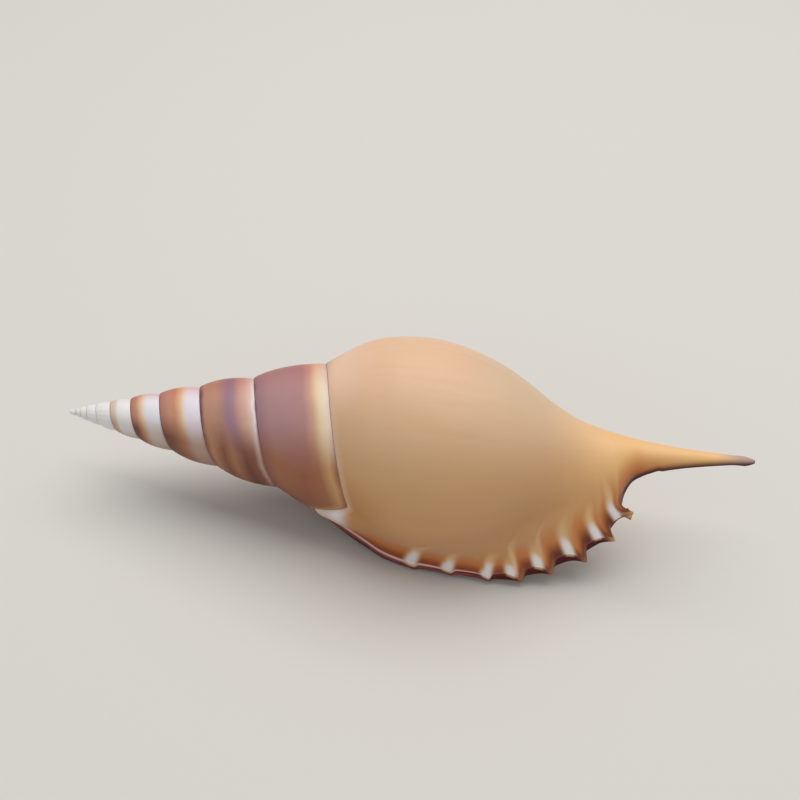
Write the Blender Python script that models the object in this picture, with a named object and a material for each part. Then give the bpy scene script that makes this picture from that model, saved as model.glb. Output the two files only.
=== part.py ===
"""Conch shell of the slender spindle kind, grown in one piece, lying with its mouth down.

The wall is one closed surface wound round the coiling axis. The axis lies along +X from the apex to the tip
of the canal, and the shell is wound right-handed. A place on the wall is given by its turn in degrees, from
0 under the lip through one whorl to 360 at the lip's edge, and below 0 up the spire, and by its row from the
suture to the canal. Sizes are in metres and angles in degrees.
"""

import bpy
import numpy as np
from mathutils import Matrix

shell_length = 0.150
canal_close_x = 0.130

whorl_ratio = 1.40
lip_angle = 227.0
back_turn = 186.0
back_suture_x = 0.05737
wind_rate = 0.312
wind_slowing = 0.01028
suture_tilt = 0.0104
suture_tilt_turn = 248.0
lobe_climb = 0.0088
lobe_turns = (329.5, 348.0)
lobe_reach = 9.0
lobe_rise = 0.0006
lobe_rise_reach = 0.0012
lobe_rise_climb = 0.003
lobe_bridge = 0.0060

cone_slope = 0.258
apex_bulk = 0.00055
apex_bulk_reach = 0.0025
whorl_bulge = 0.055
whorl_bulge_power = 0.75
body_shape_turns = (-150.0, 120.0)

body_outline = [
    (0.0572, 0.0152),
    (0.0611, 0.0178),
    (0.0660, 0.0206),
    (0.0710, 0.0220),
    (0.0760, 0.0225),
    (0.0810, 0.0224),
    (0.0860, 0.0215),
    (0.0910, 0.0199),
    (0.0963, 0.0176),
    (0.1014, 0.0145),
    (0.1066, 0.0108),
    (0.1117, 0.0078),
    (0.1168, 0.0058),
    (0.1217, 0.0045),
    (0.1300, 0.0029),
    (0.1387, 0.0018),
    (0.1446, 0.00125),
    (0.1487, 0.00085),
    (0.1500, 0.00035),
]
late_growth = 0.05
suture_ease = (0.0, 0.14)
canal_ease = (0.35, 0.65)
canal_bend = 0.0016
canal_bend_start = 0.100
canal_bend_power = 1.3
canal_bend_angle = 52.0
belly_callus = 0.0018
belly_callus_turn = 38.0
belly_callus_reach = 55.0
belly_callus_share = 0.36

lip_outline = [
    (0.0584, 0.0169),
    (0.0593, 0.0183),
    (0.0611, 0.0205),
    (0.0637, 0.0222),
    (0.0665, 0.0237),
    (0.0694, 0.0250),
    (0.0719, 0.0262),
    (0.0748, 0.0271),
    (0.0781, 0.0277),
    (0.0834, 0.0280),
    (0.0896, 0.0284),
    (0.0958, 0.0286),
    (0.0987, 0.0285),
    (0.1036, 0.0275),
    (0.1080, 0.0259),
    (0.1124, 0.0237),
    (0.1155, 0.0219),
    (0.1185, 0.0195),
    (0.1204, 0.0172),
    (0.1220, 0.0142),
    (0.1228, 0.0116),
    (0.1234, 0.0083),
    (0.1250, 0.0054),
    (0.1267, 0.0043),
    (0.1300, 0.0029),
]
lip_lean = [
    (0.0, 0.0),
    (0.05, 11.5),
    (0.10, 10.0),
    (0.15, 7.2),
    (0.20, 5.0),
    (0.25, 3.2),
    (0.32, 1.4),
    (0.40, 0.5),
    (0.50, 0.0),
    (1.0, 0.0),
]
flare_start_turn = 180.0
flare_power = [(0.0, 40.0), (0.25, 34.0), (0.42, 24.0), (0.60, 14.0), (0.72, 7.0), (0.85, 3.0), (1.0, 3.0)]
slope_step = 0.0003

rim_height = [
    (0.0, 0.0),
    (0.03, 0.0012),
    (0.06, 0.0021),
    (0.12, 0.0026),
    (0.17, 0.0024),
    (0.27, 0.0022),
    (0.32, 0.0020),
    (0.48, 0.0023),
    (0.54, 0.0028),
    (0.68, 0.0031),
    (0.80, 0.0026),
    (0.87, 0.0012),
    (0.93, 0.0006),
    (1.0, 0.0),
]
rim_slant = [
    (0.0, 0.0),
    (0.10, -12.0),
    (0.30, -10.0),
    (0.50, -10.0),
    (0.70, -5.0),
    (0.85, 20.0),
    (1.0, 50.0),
]
lip_thickness = 0.0018
lip_thick_back = (0.0, 0.05)
lip_thick_front = (0.88, 1.0)

rib_places = [0.0250, 0.0332, 0.0413, 0.0481, 0.0546, 0.0618, 0.0684, 0.0742]
rib_points = [0.0003, 0.0003, 0.00035, 0.0008, 0.0011, 0.0017, 0.0021, 0.0029]
rib_cuts = [0.10, 0.15, 0.40, 0.85, 0.90, 0.90, 0.90, 0.90]
rib_backs = [0.0018, 0.0018, 0.0018, 0.0019, 0.0019, 0.0017, 0.0013, 0.0009]
rib_back_power = 1.3
rib_front = 0.0006
rib_hook = 0.0009
point_reach = 0.0022

wall_thickness = 0.0018
hollow_back_gap = 0.0015
hollow_front_share = 0.44
hollow_front_turns = (0.0, 80.0)
hollow_settle_turns = (4.0, 50.0)
hollow_end_power = 5
least_half_gap = 0.0003
roof_step = 0.3
mouth_ring_depths = [0.6, 3.0, 8.0, 18.0, 32.0, 50.0, 75.0, 110.0, 150.0, 190.0, 230.0, 265.0]

columns_per_turn = 30
column_crowding = 0.60
spire_turns = 5
suture_rows = 9
mouth_rows = 56
canal_rows = 6
point_crowding = 3.0
point_crowding_reach = 0.0012
fine_steps = 4000

rest_roll = -0.46
rest_pitch = -1.97

shell_colour = (0.72, 0.42, 0.22, 1.0)
shell_roughness = 0.35


def clear_scene():
    for old_object in list(bpy.data.objects):
        bpy.data.objects.remove(old_object)


def smooth_step(value, start, end):
    """0 before start, 1 after end, and a soft ramp between them."""
    share = np.clip((value - start) / (end - start), 0.0, 1.0)
    return share * share * (3.0 - 2.0 * share)


def smooth_curve(points, place):
    """A curve through the points, whose slope at each point is that of its two neighbours' line."""
    table = np.array(points)
    at, value = table[:, 0], table[:, 1:]
    slope = np.gradient(value, at, axis=0)
    place = np.clip(place, at[0], at[-1])
    left = np.clip(np.searchsorted(at, place, side="right") - 1, 0, len(at) - 2)
    right = left + 1
    gap = (at[right] - at[left])[..., None]
    share = (place[..., None] - at[left][..., None]) / gap
    rest = 1.0 - share
    back = (1.0 + 2.0 * share) * rest**2 * value[left] + share * rest**2 * gap * slope[left]
    ahead = share**2 * (3.0 - 2.0 * share) * value[right] - share**2 * rest * gap * slope[right]
    return back + ahead


def suture_x(turn, with_lobe=True):
    """Where a whorl meets the one before it.

    The place grows exponentially with the turns wound and slows a little. It is tilted once a turn, and the
    lobe of the lip climbs the spire.
    """
    wound = (turn - back_turn) / 360.0
    place = back_suture_x * np.exp(wind_rate * wound - wind_slowing * wound**2)
    place = place * (1.0 + suture_tilt * np.sin(np.radians(turn - suture_tilt_turn)))
    if with_lobe:
        place = place - lobe_climb * smooth_step(turn, *lobe_turns)
    return place


def cone_radius(x):
    """The spire's straight cone, with a little more at the blunt apex."""
    return cone_slope * x + apex_bulk * (1.0 - np.exp(-x / apex_bulk_reach))


def body_radius(share):
    """The body whorl's outline at the back, by share of the way from the suture to the canal's tip."""
    first = body_outline[0][0]
    return smooth_curve(body_outline, first + share * (shell_length - first))[..., 0]


def spire_whorl_radius(x, turn):
    """A spire whorl: the cone, swollen a little between two sutures, and the body's outline past them."""
    here, ahead = suture_x(turn, False), suture_x(turn + 360.0, False)
    share = np.clip((x - here) / (ahead - here), 0.0, 1.0)
    swell = 1.0 + whorl_bulge * np.sin(np.pi * share**whorl_bulge_power)
    radius = cone_radius(np.minimum(x, ahead)) * swell
    end_share = (ahead - here) / (shell_length - here)
    past = body_radius(np.maximum((x - here) / (shell_length - here), end_share)) / body_radius(end_share)
    return radius * past


def whorl_radius(x, turn):
    """The wall's distance from the axis: spire whorls that turn into the swollen body whorl."""
    here = suture_x(turn, False)
    share = np.clip((x - here) / (shell_length - here), 0.0, 1.0)
    growth = whorl_ratio ** ((np.minimum(turn, back_turn) - back_turn) / 360.0)
    growth = growth + late_growth * smooth_step(turn, back_turn, 360.0)
    at_suture = cone_radius(here) / body_radius(np.zeros_like(share))
    growth = growth + (at_suture - growth) * (1.0 - smooth_step(share, *suture_ease))
    growth = growth + (1.0 - growth) * smooth_step(share, *canal_ease)
    body = growth * body_radius(share)
    callus = belly_callus * np.exp(-(((turn - belly_callus_turn) / belly_callus_reach) ** 2))
    body = body + callus * np.sin(np.pi * np.clip(share / belly_callus_share, 0.0, 1.0)) ** 2
    swollen = smooth_step(turn, *body_shape_turns)
    return spire_whorl_radius(x, turn) * (1.0 - swollen) + body * swollen


def lip_table():
    """The lip's outline by the length along it."""
    table = np.array(lip_outline)
    along = np.concatenate([[0.0], np.cumsum(np.hypot(*np.diff(table, axis=0).T))])
    return np.column_stack([along, table])


def row_shares():
    """The share of the way from the suture to where the canal closes, for each row round the mouth.

    The rows past the suture lie closer together at the lip's points.
    """
    start, end = suture_x(0.0), suture_x(360.0, False)
    suture_share = (end - start) / (canal_close_x - start)
    behind = np.linspace(0.0, suture_share, suture_rows + 1)
    fine = np.linspace(suture_share, 1.0, fine_steps)
    weight = np.ones_like(fine)
    for rib_place in rib_places:
        gap = (fine * lip_table()[-1, 0] - rib_place) / point_crowding_reach
        weight = weight + point_crowding * np.exp(-(gap**2))
    total = np.cumsum(weight)
    wanted = np.linspace(total[0], total[-1], mouth_rows - suture_rows + 1)
    return np.concatenate([behind, np.interp(wanted, total, fine)[1:]])


def row_x(turn, shares):
    """Where the rows lie along the axis, with the rows near the lobe drawn back with it."""
    start = suture_x(turn)
    x = start + (canal_close_x - start) * shares
    suture_share = shares[suture_rows]
    lobe = lobe_climb * np.exp(-((turn / lobe_reach) ** 2))
    near = np.where(shares < suture_share, shares / suture_share, (1.0 - shares) / (1.0 - suture_share))
    return x - np.where(turn < 180.0, lobe * near, 0.0)


def rib_shares(place):
    """How far a place along the lip belongs to each rib: soft towards the spire, steep ahead."""
    gap = place[:, None] - np.array(rib_places)
    behind = np.exp(-((np.abs(gap) / np.array(rib_backs)) ** rib_back_power))
    return np.where(gap < 0.0, behind, np.exp(-((gap / rib_front) ** 2)))


def lip_points(shares):
    """The lip's points: how far the edge is pushed out and hooked forward, along the axis and in radius."""
    table = lip_table()
    place = shares * table[-1, 0]
    ahead = smooth_curve(table, place + slope_step) - smooth_curve(table, place - slope_step)
    ahead = ahead / np.linalg.norm(ahead, axis=1, keepdims=True)
    out = rib_shares(place) @ np.array(rib_points)
    hook = rib_hook * (out / max(rib_points)) ** 2
    return hook * ahead[:, 0] - out * ahead[:, 1], hook * ahead[:, 1] + out * ahead[:, 0]


def lip_edge(shares):
    """The lip's edge without its points: place along the axis, radius and angle."""
    table = lip_table()
    edge = smooth_curve(table, shares * table[-1, 0])
    return edge[:, 0], edge[:, 1], lip_angle + 360.0 + smooth_curve(lip_lean, shares)[:, 0]


def lip_ridge(shares):
    """The line above the edge where the outer wall meets the rim. The ribs cut the rim down."""
    x, radius, angle = lip_edge(shares)
    place = shares * lip_table()[-1, 0]
    cut = np.minimum(rib_shares(place) @ np.array(rib_cuts), 1.0)
    height = smooth_curve(rim_height, shares)[:, 0] * (1.0 - cut)
    slant = np.radians(smooth_curve(rim_slant, shares)[:, 0])
    y = radius * np.cos(np.radians(angle)) - height * np.sin(slant)
    z = radius * np.sin(np.radians(angle)) + height * np.cos(slant)
    return x, np.hypot(y, z), np.degrees(np.arctan2(z, y)) % 360.0 + 360.0


def lobed_radius(x, turn):
    """The last whorl's wall, which bridges in a straight line up to the spire where the lobe climbs it."""
    start, free = suture_x(turn), suture_x(turn, False)
    landing = free + lobe_bridge
    on_spire = whorl_radius(x, np.full_like(x, turn - 360.0))
    radius = np.where(x < free, on_spire, whorl_radius(x, np.full_like(x, turn)))
    first = whorl_radius(np.array([start]), np.array([turn - 360.0]))
    last = whorl_radius(np.array([landing]), np.array([turn]))
    bridge = first + (last - first) * (x - start) / (landing - start)
    radius = np.where(x < landing, np.maximum(radius, bridge), radius)
    raised = smooth_step(x - start, 0.0, lobe_rise_reach) * (1.0 - smooth_step(x - free, 0.0, lobe_bridge))
    return radius + lobe_rise * raised * smooth_step(free - start, 0.0, lobe_rise_climb)


def wall(turn, shares):
    """One growth line of the last whorl: place along the axis, radius and angle of each of its rows."""
    x = row_x(turn, shares)
    radius = lobed_radius(x, turn)
    angle = np.full_like(x, lip_angle + turn)
    if turn > flare_start_turn:
        ridge_x, ridge_radius, ridge_angle = lip_ridge(shares)
        towards = (turn - flare_start_turn) / (360.0 - flare_start_turn)
        flare = towards ** smooth_curve(flare_power, shares)[:, 0]
        x = x + flare * (ridge_x - x)
        radius = radius + flare * (ridge_radius - radius)
        angle = angle + flare * (ridge_angle - lip_angle - 360.0)
        point_x, point_radius = lip_points(shares)
        near = np.exp(-((np.radians(360.0 - turn) * ridge_radius / point_reach) ** 2))
        x = x + near * point_x
        radius = radius + near * point_radius
    return x, radius, angle


def to_points(x, radius, angle):
    """Points in space, with the canal's bend away from the lip."""
    along = np.clip((x - canal_bend_start) / (shell_length - canal_bend_start), 0.0, 1.0)
    bend = canal_bend * along**canal_bend_power
    turned = np.radians(angle)
    y = radius * np.cos(turned) + bend * np.cos(np.radians(canal_bend_angle))
    z = radius * np.sin(turned) + bend * np.sin(np.radians(canal_bend_angle))
    return np.column_stack([x, y, z])


def column_turns():
    """The turn of each growth line, closer together near the lip."""
    share = np.arange(columns_per_turn) / columns_per_turn
    step = share - column_crowding * np.sin(2.0 * np.pi * share) / (2.0 * np.pi)
    whole = [360.0 * (turn + step) for turn in range(-spire_turns, 1)]
    return np.concatenate([*whole, [360.0]])


def spire_line(turn):
    """One growth line of the spire, from its suture to just short of the next."""
    start, end = suture_x(turn), suture_x(turn + 360.0)
    x = np.linspace(start, end, suture_rows + 1)[:-1]
    return to_points(x, whorl_radius(x, np.full_like(x, turn)), np.full_like(x, lip_angle + turn))


def body_line(turn, shares):
    """One growth line of the last whorl, from its suture on the whorl before it to the end of the canal."""
    x, radius, angle = wall(turn, shares)
    radius[:1] = whorl_radius(x[:1], np.array([turn - 360.0]))
    canal_x = np.linspace(canal_close_x, shell_length, canal_rows + 1)[1:]
    canal_radius = whorl_radius(canal_x, np.full_like(canal_x, turn))
    canal_angle = np.full_like(canal_x, lip_angle + turn)
    return to_points(np.append(x, canal_x), np.append(radius, canal_radius), np.append(angle, canal_angle))


def rim_line(shares):
    """The lip's edge with its points."""
    x, radius, angle = lip_edge(shares)
    point_x, point_radius = lip_points(shares)
    return to_points(x + point_x, radius + point_radius, angle)


def mouth_roof(depth, shares):
    """The inner side of the lip and of the last whorl's wall, by how far it lies behind the lip's edge."""
    here = to_points(*wall(360.0 - depth, shares))
    behind = to_points(*wall(360.0 - depth - roof_step, shares))
    out = np.cross(here - behind, np.gradient(here, axis=0))
    out = out / np.linalg.norm(out, axis=1, keepdims=True)
    ends = smooth_step(shares, *lip_thick_back) * (1.0 - smooth_step(shares, *lip_thick_front))
    return here - out * (lip_thickness * ends)[:, None]


def hollow_radius(x, depth, side, back, front):
    """The deep hollow's roof (side 1) or floor (side -1), rounded where the two meet at its ends."""
    top = whorl_radius(x, np.full_like(x, 360.0 - depth)) - wall_thickness
    base = whorl_radius(x, np.full_like(x, -depth))
    half = np.maximum((top - base) / 2.0, least_half_gap)
    from_middle = np.abs(2.0 * (x - back) / (front - back) - 1.0)
    fullness = np.sqrt(np.clip(1.0 - from_middle**hollow_end_power, 0.0, 1.0))
    return (top + base) / 2.0 + side * half * fullness


def mouth_ring(depth, shares):
    """One closed ring of the hollow: its roof from the suture to the canal, and its floor back again."""
    turn = 360.0 - depth
    suture_share = shares[suture_rows]
    floor_shares = shares[mouth_rows - 1 : suture_rows : -1]
    floor = to_points(*wall(-depth, shares))[mouth_rows - 1 : suture_rows : -1]
    near = np.concatenate([mouth_roof(depth, shares), floor])
    back = suture_x(turn) + hollow_back_gap
    deep_front = suture_x(turn, False) + hollow_front_share * (shell_length - suture_x(turn, False))
    front = canal_close_x + (deep_front - canal_close_x) * smooth_step(depth, *hollow_front_turns)
    roof_way = (1.0 - np.cos(np.pi * shares)) / 2.0
    floor_way = (1.0 - np.cos(np.pi * (floor_shares - suture_share) / (1.0 - suture_share))) / 2.0
    x = back + (front - back) * np.append(roof_way, floor_way)
    side = np.append(np.ones_like(roof_way), -np.ones_like(floor_way))
    deep = to_points(x, hollow_radius(x, depth, side, back, front), np.full_like(x, lip_angle + turn))
    return near + smooth_step(depth, *hollow_settle_turns) * (deep - near)


def strip(near, far):
    """Triangles between two lines of points."""
    first, second, third, fourth = near[:-1], near[1:], far[1:], far[:-1]
    return np.concatenate([np.column_stack([first, third, second]), np.column_stack([first, fourth, third])])


def fan(middle, ring):
    """Triangles from one point to a closed ring."""
    return np.column_stack([np.full_like(ring, middle), np.roll(ring, -1), ring])


def shell_surface():
    """All points and faces of the closed wall: the outside, its two ends, and the mouth's hollow."""
    turns, shares = column_turns(), row_shares()
    first_body, last = columns_per_turn * spire_turns, len(turns) - 1
    tail_row = mouth_rows + canal_rows
    lines = [spire_line(turn) for turn in turns[:first_body]]
    lines += [body_line(turn, shares) for turn in turns[first_body:last]]
    lines.append(body_line(turns[last], shares)[1:mouth_rows])
    index = np.zeros((last + 1, tail_row + 1), int)
    used = 0
    for column, line in enumerate(lines):
        first_row = 1 if column == last else 0
        index[column, first_row : first_row + len(line)] = np.arange(used, used + len(line))
        used += len(line)
    index[last, 0] = index[first_body, suture_rows]
    index[last, mouth_rows:] = index[first_body, mouth_rows:]
    index[:first_body, suture_rows] = index[columns_per_turn:last, 0]

    faces = []
    for column in range(last):
        end_row = suture_rows if column < first_body else tail_row
        faces.append(strip(index[column, : end_row + 1], index[column + 1, : end_row + 1]))
    start_ring = np.append(index[: columns_per_turn + 1, 0], index[0, suture_rows - 1 : 0 : -1])
    canal_end = index[first_body:last, tail_row][::-1]
    faces.append(fan(used, start_ring))
    faces.append(fan(used + 1, canal_end))
    lines.append(to_points(np.array([0.0, shell_length]), np.zeros(2), np.zeros(2)))
    used += 2
    edge = index[last, : mouth_rows + 1].copy()
    lines.append(rim_line(shares)[1:mouth_rows])
    edge[1:mouth_rows] = np.arange(used, used + mouth_rows - 1)
    used += mouth_rows - 1
    faces.append(strip(index[last, : mouth_rows + 1], edge))
    ring = np.append(edge, index[first_body, mouth_rows - 1 : suture_rows : -1])
    for depth in mouth_ring_depths:
        lines.append(mouth_ring(depth, shares))
        inner = np.arange(used, used + len(ring))
        used += len(ring)
        faces.append(strip(np.append(ring, ring[0]), np.append(inner, inner[0])))
        ring = inner
    lines.append(lines[-1].mean(axis=0, keepdims=True))
    faces.append(fan(used, ring))
    faces = np.concatenate(faces)
    whole = (np.diff(np.sort(faces, axis=1), axis=1) > 0).all(axis=1)
    return np.concatenate(lines), faces[whole]


def make_material():
    material = bpy.data.materials.new("shell")
    material.use_nodes = True
    surface = material.node_tree.nodes["Principled BSDF"]
    surface.inputs["Base Color"].default_value = shell_colour
    surface.inputs["Roughness"].default_value = shell_roughness
    surface.inputs["Metallic"].default_value = 0.0
    return material


def make_shell(collection):
    points, faces = shell_surface()
    mesh = bpy.data.meshes.new("shell")
    mesh.from_pydata(points.tolist(), [], faces.tolist())
    turned = Matrix.Rotation(np.radians(rest_roll), 4, "X") @ Matrix.Rotation(np.radians(rest_pitch), 4, "Y")
    mesh.transform(turned)
    mesh.update()
    places = np.array([vertex.co for vertex in mesh.vertices])
    low, high = places.min(axis=0), places.max(axis=0)
    mesh.transform(Matrix.Translation((-(low[0] + high[0]) / 2.0, -(low[1] + high[1]) / 2.0, -low[2])))
    mesh.shade_smooth()
    mesh.materials.append(make_material())
    shell = bpy.data.objects.new("shell", mesh)
    collection.objects.link(shell)


def main():
    clear_scene()
    collection = bpy.data.collections.new("conch_shell")
    bpy.context.scene.collection.children.link(collection)
    make_shell(collection)


main()
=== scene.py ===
# Looks of the conch shell: one grown piece of the slender spindle kind, lying with its mouth down.
import bpy
import numpy as np
from mathutils import Matrix, Vector


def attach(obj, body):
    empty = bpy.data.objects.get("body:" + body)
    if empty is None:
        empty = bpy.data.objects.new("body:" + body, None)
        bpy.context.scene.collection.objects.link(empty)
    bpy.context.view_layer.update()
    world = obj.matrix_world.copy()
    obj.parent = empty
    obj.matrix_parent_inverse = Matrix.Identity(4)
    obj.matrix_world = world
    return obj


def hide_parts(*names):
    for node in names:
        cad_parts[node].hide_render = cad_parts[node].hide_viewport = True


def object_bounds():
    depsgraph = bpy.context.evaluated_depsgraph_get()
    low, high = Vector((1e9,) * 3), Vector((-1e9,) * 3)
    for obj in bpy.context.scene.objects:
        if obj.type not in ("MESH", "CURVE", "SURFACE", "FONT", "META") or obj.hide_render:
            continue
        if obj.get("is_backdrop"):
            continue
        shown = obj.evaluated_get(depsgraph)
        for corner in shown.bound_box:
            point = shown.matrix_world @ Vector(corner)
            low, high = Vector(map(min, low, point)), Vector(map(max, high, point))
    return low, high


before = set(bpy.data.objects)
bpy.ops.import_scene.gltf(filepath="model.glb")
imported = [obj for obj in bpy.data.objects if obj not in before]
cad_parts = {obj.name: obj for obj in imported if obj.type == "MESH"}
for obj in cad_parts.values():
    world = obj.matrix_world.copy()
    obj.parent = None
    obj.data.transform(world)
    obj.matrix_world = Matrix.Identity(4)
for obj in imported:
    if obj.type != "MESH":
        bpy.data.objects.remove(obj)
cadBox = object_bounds()
print("frame loaded")

# The wall is wound round an axis along +X, from the apex at 0 to the canal's tip. A place on it is a turn
# (0 under the lip, 360 at the lip's edge, below 0 up the spire) and a row from suture to canal. Sizes are
# in metres and angles in degrees.
growth = {
    "length": 0.150,
    "restRoll": -0.46,
    "restPitch": -1.97,
    "canalCloseX": 0.130,
    "whorlRatio": 1.40,
    "lipAngle": 227.0,
    "backTurn": 186.0,
    "backSutureX": 0.05737,
    "windRate": 0.312,
    "windSlowing": 0.01028,
    "sutureTilt": 0.0104,
    "tiltTurn": 248.0,
    "lobeClimb": 0.0088,
    "lobeTurns": (329.5, 348.0),
    "lobeReach": 9.0,
    "lobeRise": 0.0006,
    "lobeRiseReach": 0.0012,
    "lobeRiseStart": 0.003,
    "lobeBridge": 0.0060,
    "coneSlope": 0.258,
    "waist": 0.045,
    "waistX": (0.046, 0.060),
    "apexBulk": 0.00055,
    "apexReach": 0.0025,
    "bulge": 0.105,
    "bulgePower": 0.75,
    "bodyTurns": (-150.0, 120.0),
    "lateGrowth": 0.05,
    "sutureEase": (0.0, 0.14),
    "canalEase": (0.35, 0.65),
    "canalBend": 0.0016,
    "canalBendX": 0.100,
    "canalBendPower": 1.3,
    "canalBendAngle": 52.0,
    "callus": 0.0018,
    "callusTurn": 38.0,
    "callusReach": 55.0,
    "callusShare": 0.36,
}

# The body whorl's outline at the back: place along the axis and radius.
bodyOutline = [
    (0.0572, 0.0152), (0.0611, 0.0178), (0.0660, 0.0206), (0.0710, 0.0220), (0.0760, 0.0225),
    (0.0810, 0.0224), (0.0860, 0.0215), (0.0910, 0.0199), (0.0963, 0.0176), (0.1014, 0.0145),
    (0.1066, 0.0108), (0.1117, 0.0078), (0.1168, 0.0058), (0.1217, 0.0045), (0.1300, 0.0029),
    (0.1387, 0.0018), (0.1446, 0.00125), (0.1487, 0.00085), (0.1500, 0.00035),
]

# The lip: its edge's outline, how the wall flares out to it, its rim and its ribs.
lip = {
    "outline": [
        (0.0584, 0.0169), (0.0593, 0.0183), (0.0611, 0.0205), (0.0637, 0.0222), (0.0665, 0.0237),
        (0.0694, 0.0250), (0.0719, 0.0262), (0.0748, 0.0271), (0.0781, 0.0277), (0.0834, 0.0280),
        (0.0896, 0.0284), (0.0958, 0.0286), (0.0987, 0.0285), (0.1036, 0.0275), (0.1080, 0.0259),
        (0.1124, 0.0237), (0.1155, 0.0219), (0.1185, 0.0195), (0.1204, 0.0172), (0.1220, 0.0142),
        (0.1228, 0.0116), (0.1234, 0.0083), (0.1250, 0.0054), (0.1267, 0.0043), (0.1300, 0.0029),
    ],
    "lean": [
        (0.0, 0.0), (0.05, 11.5), (0.10, 10.0), (0.15, 7.2), (0.20, 5.0),
        (0.25, 3.2), (0.32, 1.4), (0.40, 0.5), (0.50, 0.0), (1.0, 0.0),
    ],
    "flareTurn": 180.0,
    "flarePower": [
        (0.0, 40.0), (0.25, 34.0), (0.42, 24.0), (0.60, 14.0), (0.72, 7.0), (0.85, 3.0), (1.0, 3.0),
    ],
    "rimHeight": [
        (0.0, 0.0), (0.03, 0.0012), (0.06, 0.0021), (0.12, 0.0026), (0.17, 0.0024),
        (0.27, 0.0022), (0.32, 0.0020), (0.48, 0.0023), (0.54, 0.0028), (0.68, 0.0031),
        (0.80, 0.0026), (0.87, 0.0012), (0.93, 0.0006), (1.0, 0.0),
    ],
    "rimSlant": [
        (0.0, 0.0), (0.10, -12.0), (0.30, -10.0), (0.50, -10.0), (0.70, -5.0), (0.85, 20.0), (1.0, 50.0),
    ],
    "rimSquareness": 0.36,
    "thickness": 0.0018,
    "thickBack": (0.0, 0.05),
    "thickFront": (0.88, 1.0),
    "ribPlaces": [0.0250, 0.0332, 0.0413, 0.0481, 0.0546, 0.0618, 0.0684, 0.0742],
    "ribPoints": [0.0003, 0.0003, 0.00035, 0.0008, 0.0011, 0.0017, 0.0021, 0.0029],
    "ribCuts": [0.10, 0.15, 0.40, 0.85, 0.90, 0.90, 0.90, 0.90],
    "pointBack": [0.0018, 0.0018, 0.0018, 0.0019, 0.0019, 0.0017, 0.0013, 0.0009],
    "pointPower": 1.3,
    "pointFront": 0.0006,
    "pointHook": 0.0009,
    "pointReach": 0.0016,
    "slopeStep": 0.0003,
    "whitePlaces": [0.0240, 0.0321, 0.0405, 0.0458, 0.0518, 0.0588, 0.0656, 0.0722],
    "ribSlants": [-0.60, -0.70, -0.75, -0.50, -0.38, -0.22, -0.05, 0.18],
    "ribWidth": 0.0010,
    "ribHeight": 0.00030,
    "ribFade": 0.0035,
}

# The hollow behind the mouth.
hollow = {
    "wall": 0.0018,
    "backGap": 0.0015,
    "frontShare": 0.44,
    "frontTurns": (0.0, 80.0),
    "settleTurns": (4.0, 50.0),
    "endPower": 5,
    "leastHalfGap": 0.0003,
    "depths": [
        0.5, 1.2, 2.2, 3.5, 5, 7, 10, 14, 19, 25, 32, 40,
        50, 62, 76, 92, 110, 130, 150, 172, 195, 220, 245, 268,
    ],
}

# How finely the surface is divided.
grid = {
    "columns": 168,
    "crowding": 0.80,
    "spireTurns": 9,
    "sutureRows": 22,
    "mouthRows": 250,
    "canalRows": 20,
    "rimColumns": 7,
    "apexRings": 5,
    "pointCrowding": 3.0,
    "pointReach": 0.0014,
    "lengthSteps": 4000,
}

# Small relief of the surface.
relief = {
    "grooveDepth": 0.00014,
    "grooveReach": 0.00016,
    "edgeRise": 0.00009,
    "edgeFade": 8.0,
    "fullRadius": 0.006,
    "lipFade": 4.0,
    "axialRibs": 17,
    "axialHeight": 0.015,
    "axialX": (0.0060, 0.0125),
    "slitDepth": 0.55,
    "slitWidth": 0.00055,
    "slitStart": (-0.001, 0.007),
    "slitEnd": (0.1440, 0.1490),
    "seamFade": 0.009,
    "seamWidth": 0.004,
}

# A grid's readings where it doesn't give its own: clear of the spire's bands and of the suture's line.
plainReadings = {
    "turn": 0.0,
    "between": 2.0,
    "fromSuture": 0.01,
    "away": 0.0,
    "place": 0.0,
    "rim": 0.0,
    "deep": 0.0,
}
apexReadings = {"turn": -360.0 * grid["spireTurns"], "between": 0.5, "away": 1.0}
tipReadings = {"turn": 180.0, "fromSuture": 0.1, "away": 0.05}
endReadings = {"turn": 90.0, "rim": 0.01, "deep": 270.0}


def softStep(value, start, end):
    # 0 before start, 1 after end, and three squares less two cubes of the way between them
    way = np.clip((value - start) / (end - start), 0.0, 1.0)
    return way * way * (3.0 - 2.0 * way)


def curveThrough(points, place):
    # cubic pieces through the points; each point's slope is that of the parabola through it and its two
    # neighbours
    table = np.array(points)
    at, value = table[:, 0], table[:, 1:]
    slope = np.gradient(value, at, axis=0)
    place = np.clip(place, at[0], at[-1])
    left = np.clip(np.searchsorted(at, place, side="right") - 1, 0, len(at) - 2)
    gap = (at[left + 1] - at[left])[..., None]
    way = (place[..., None] - at[left][..., None]) / gap
    back = (1.0 + 2.0 * way) * (1.0 - way) ** 2 * value[left] + way * (1.0 - way) ** 2 * gap * slope[left]
    ahead = way**2 * (3.0 - 2.0 * way) * value[left + 1] - way**2 * (1.0 - way) * gap * slope[left + 1]
    return back + ahead


def sutureX(turn, withLobe=True):
    # a whorl meets the one before it at backSutureX times the exponential of the turns wound, which slows a
    # little, tilted by a sine once a turn, and less where the lip's lobe climbs the spire
    wound = (turn - growth["backTurn"]) / 360.0
    x = growth["backSutureX"] * np.exp(growth["windRate"] * wound - growth["windSlowing"] * wound**2)
    x = x * (1.0 + growth["sutureTilt"] * np.sin(np.radians(turn - growth["tiltTurn"])))
    if withLobe:
        x = x - growth["lobeClimb"] * softStep(turn, *growth["lobeTurns"])
    return x


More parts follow.
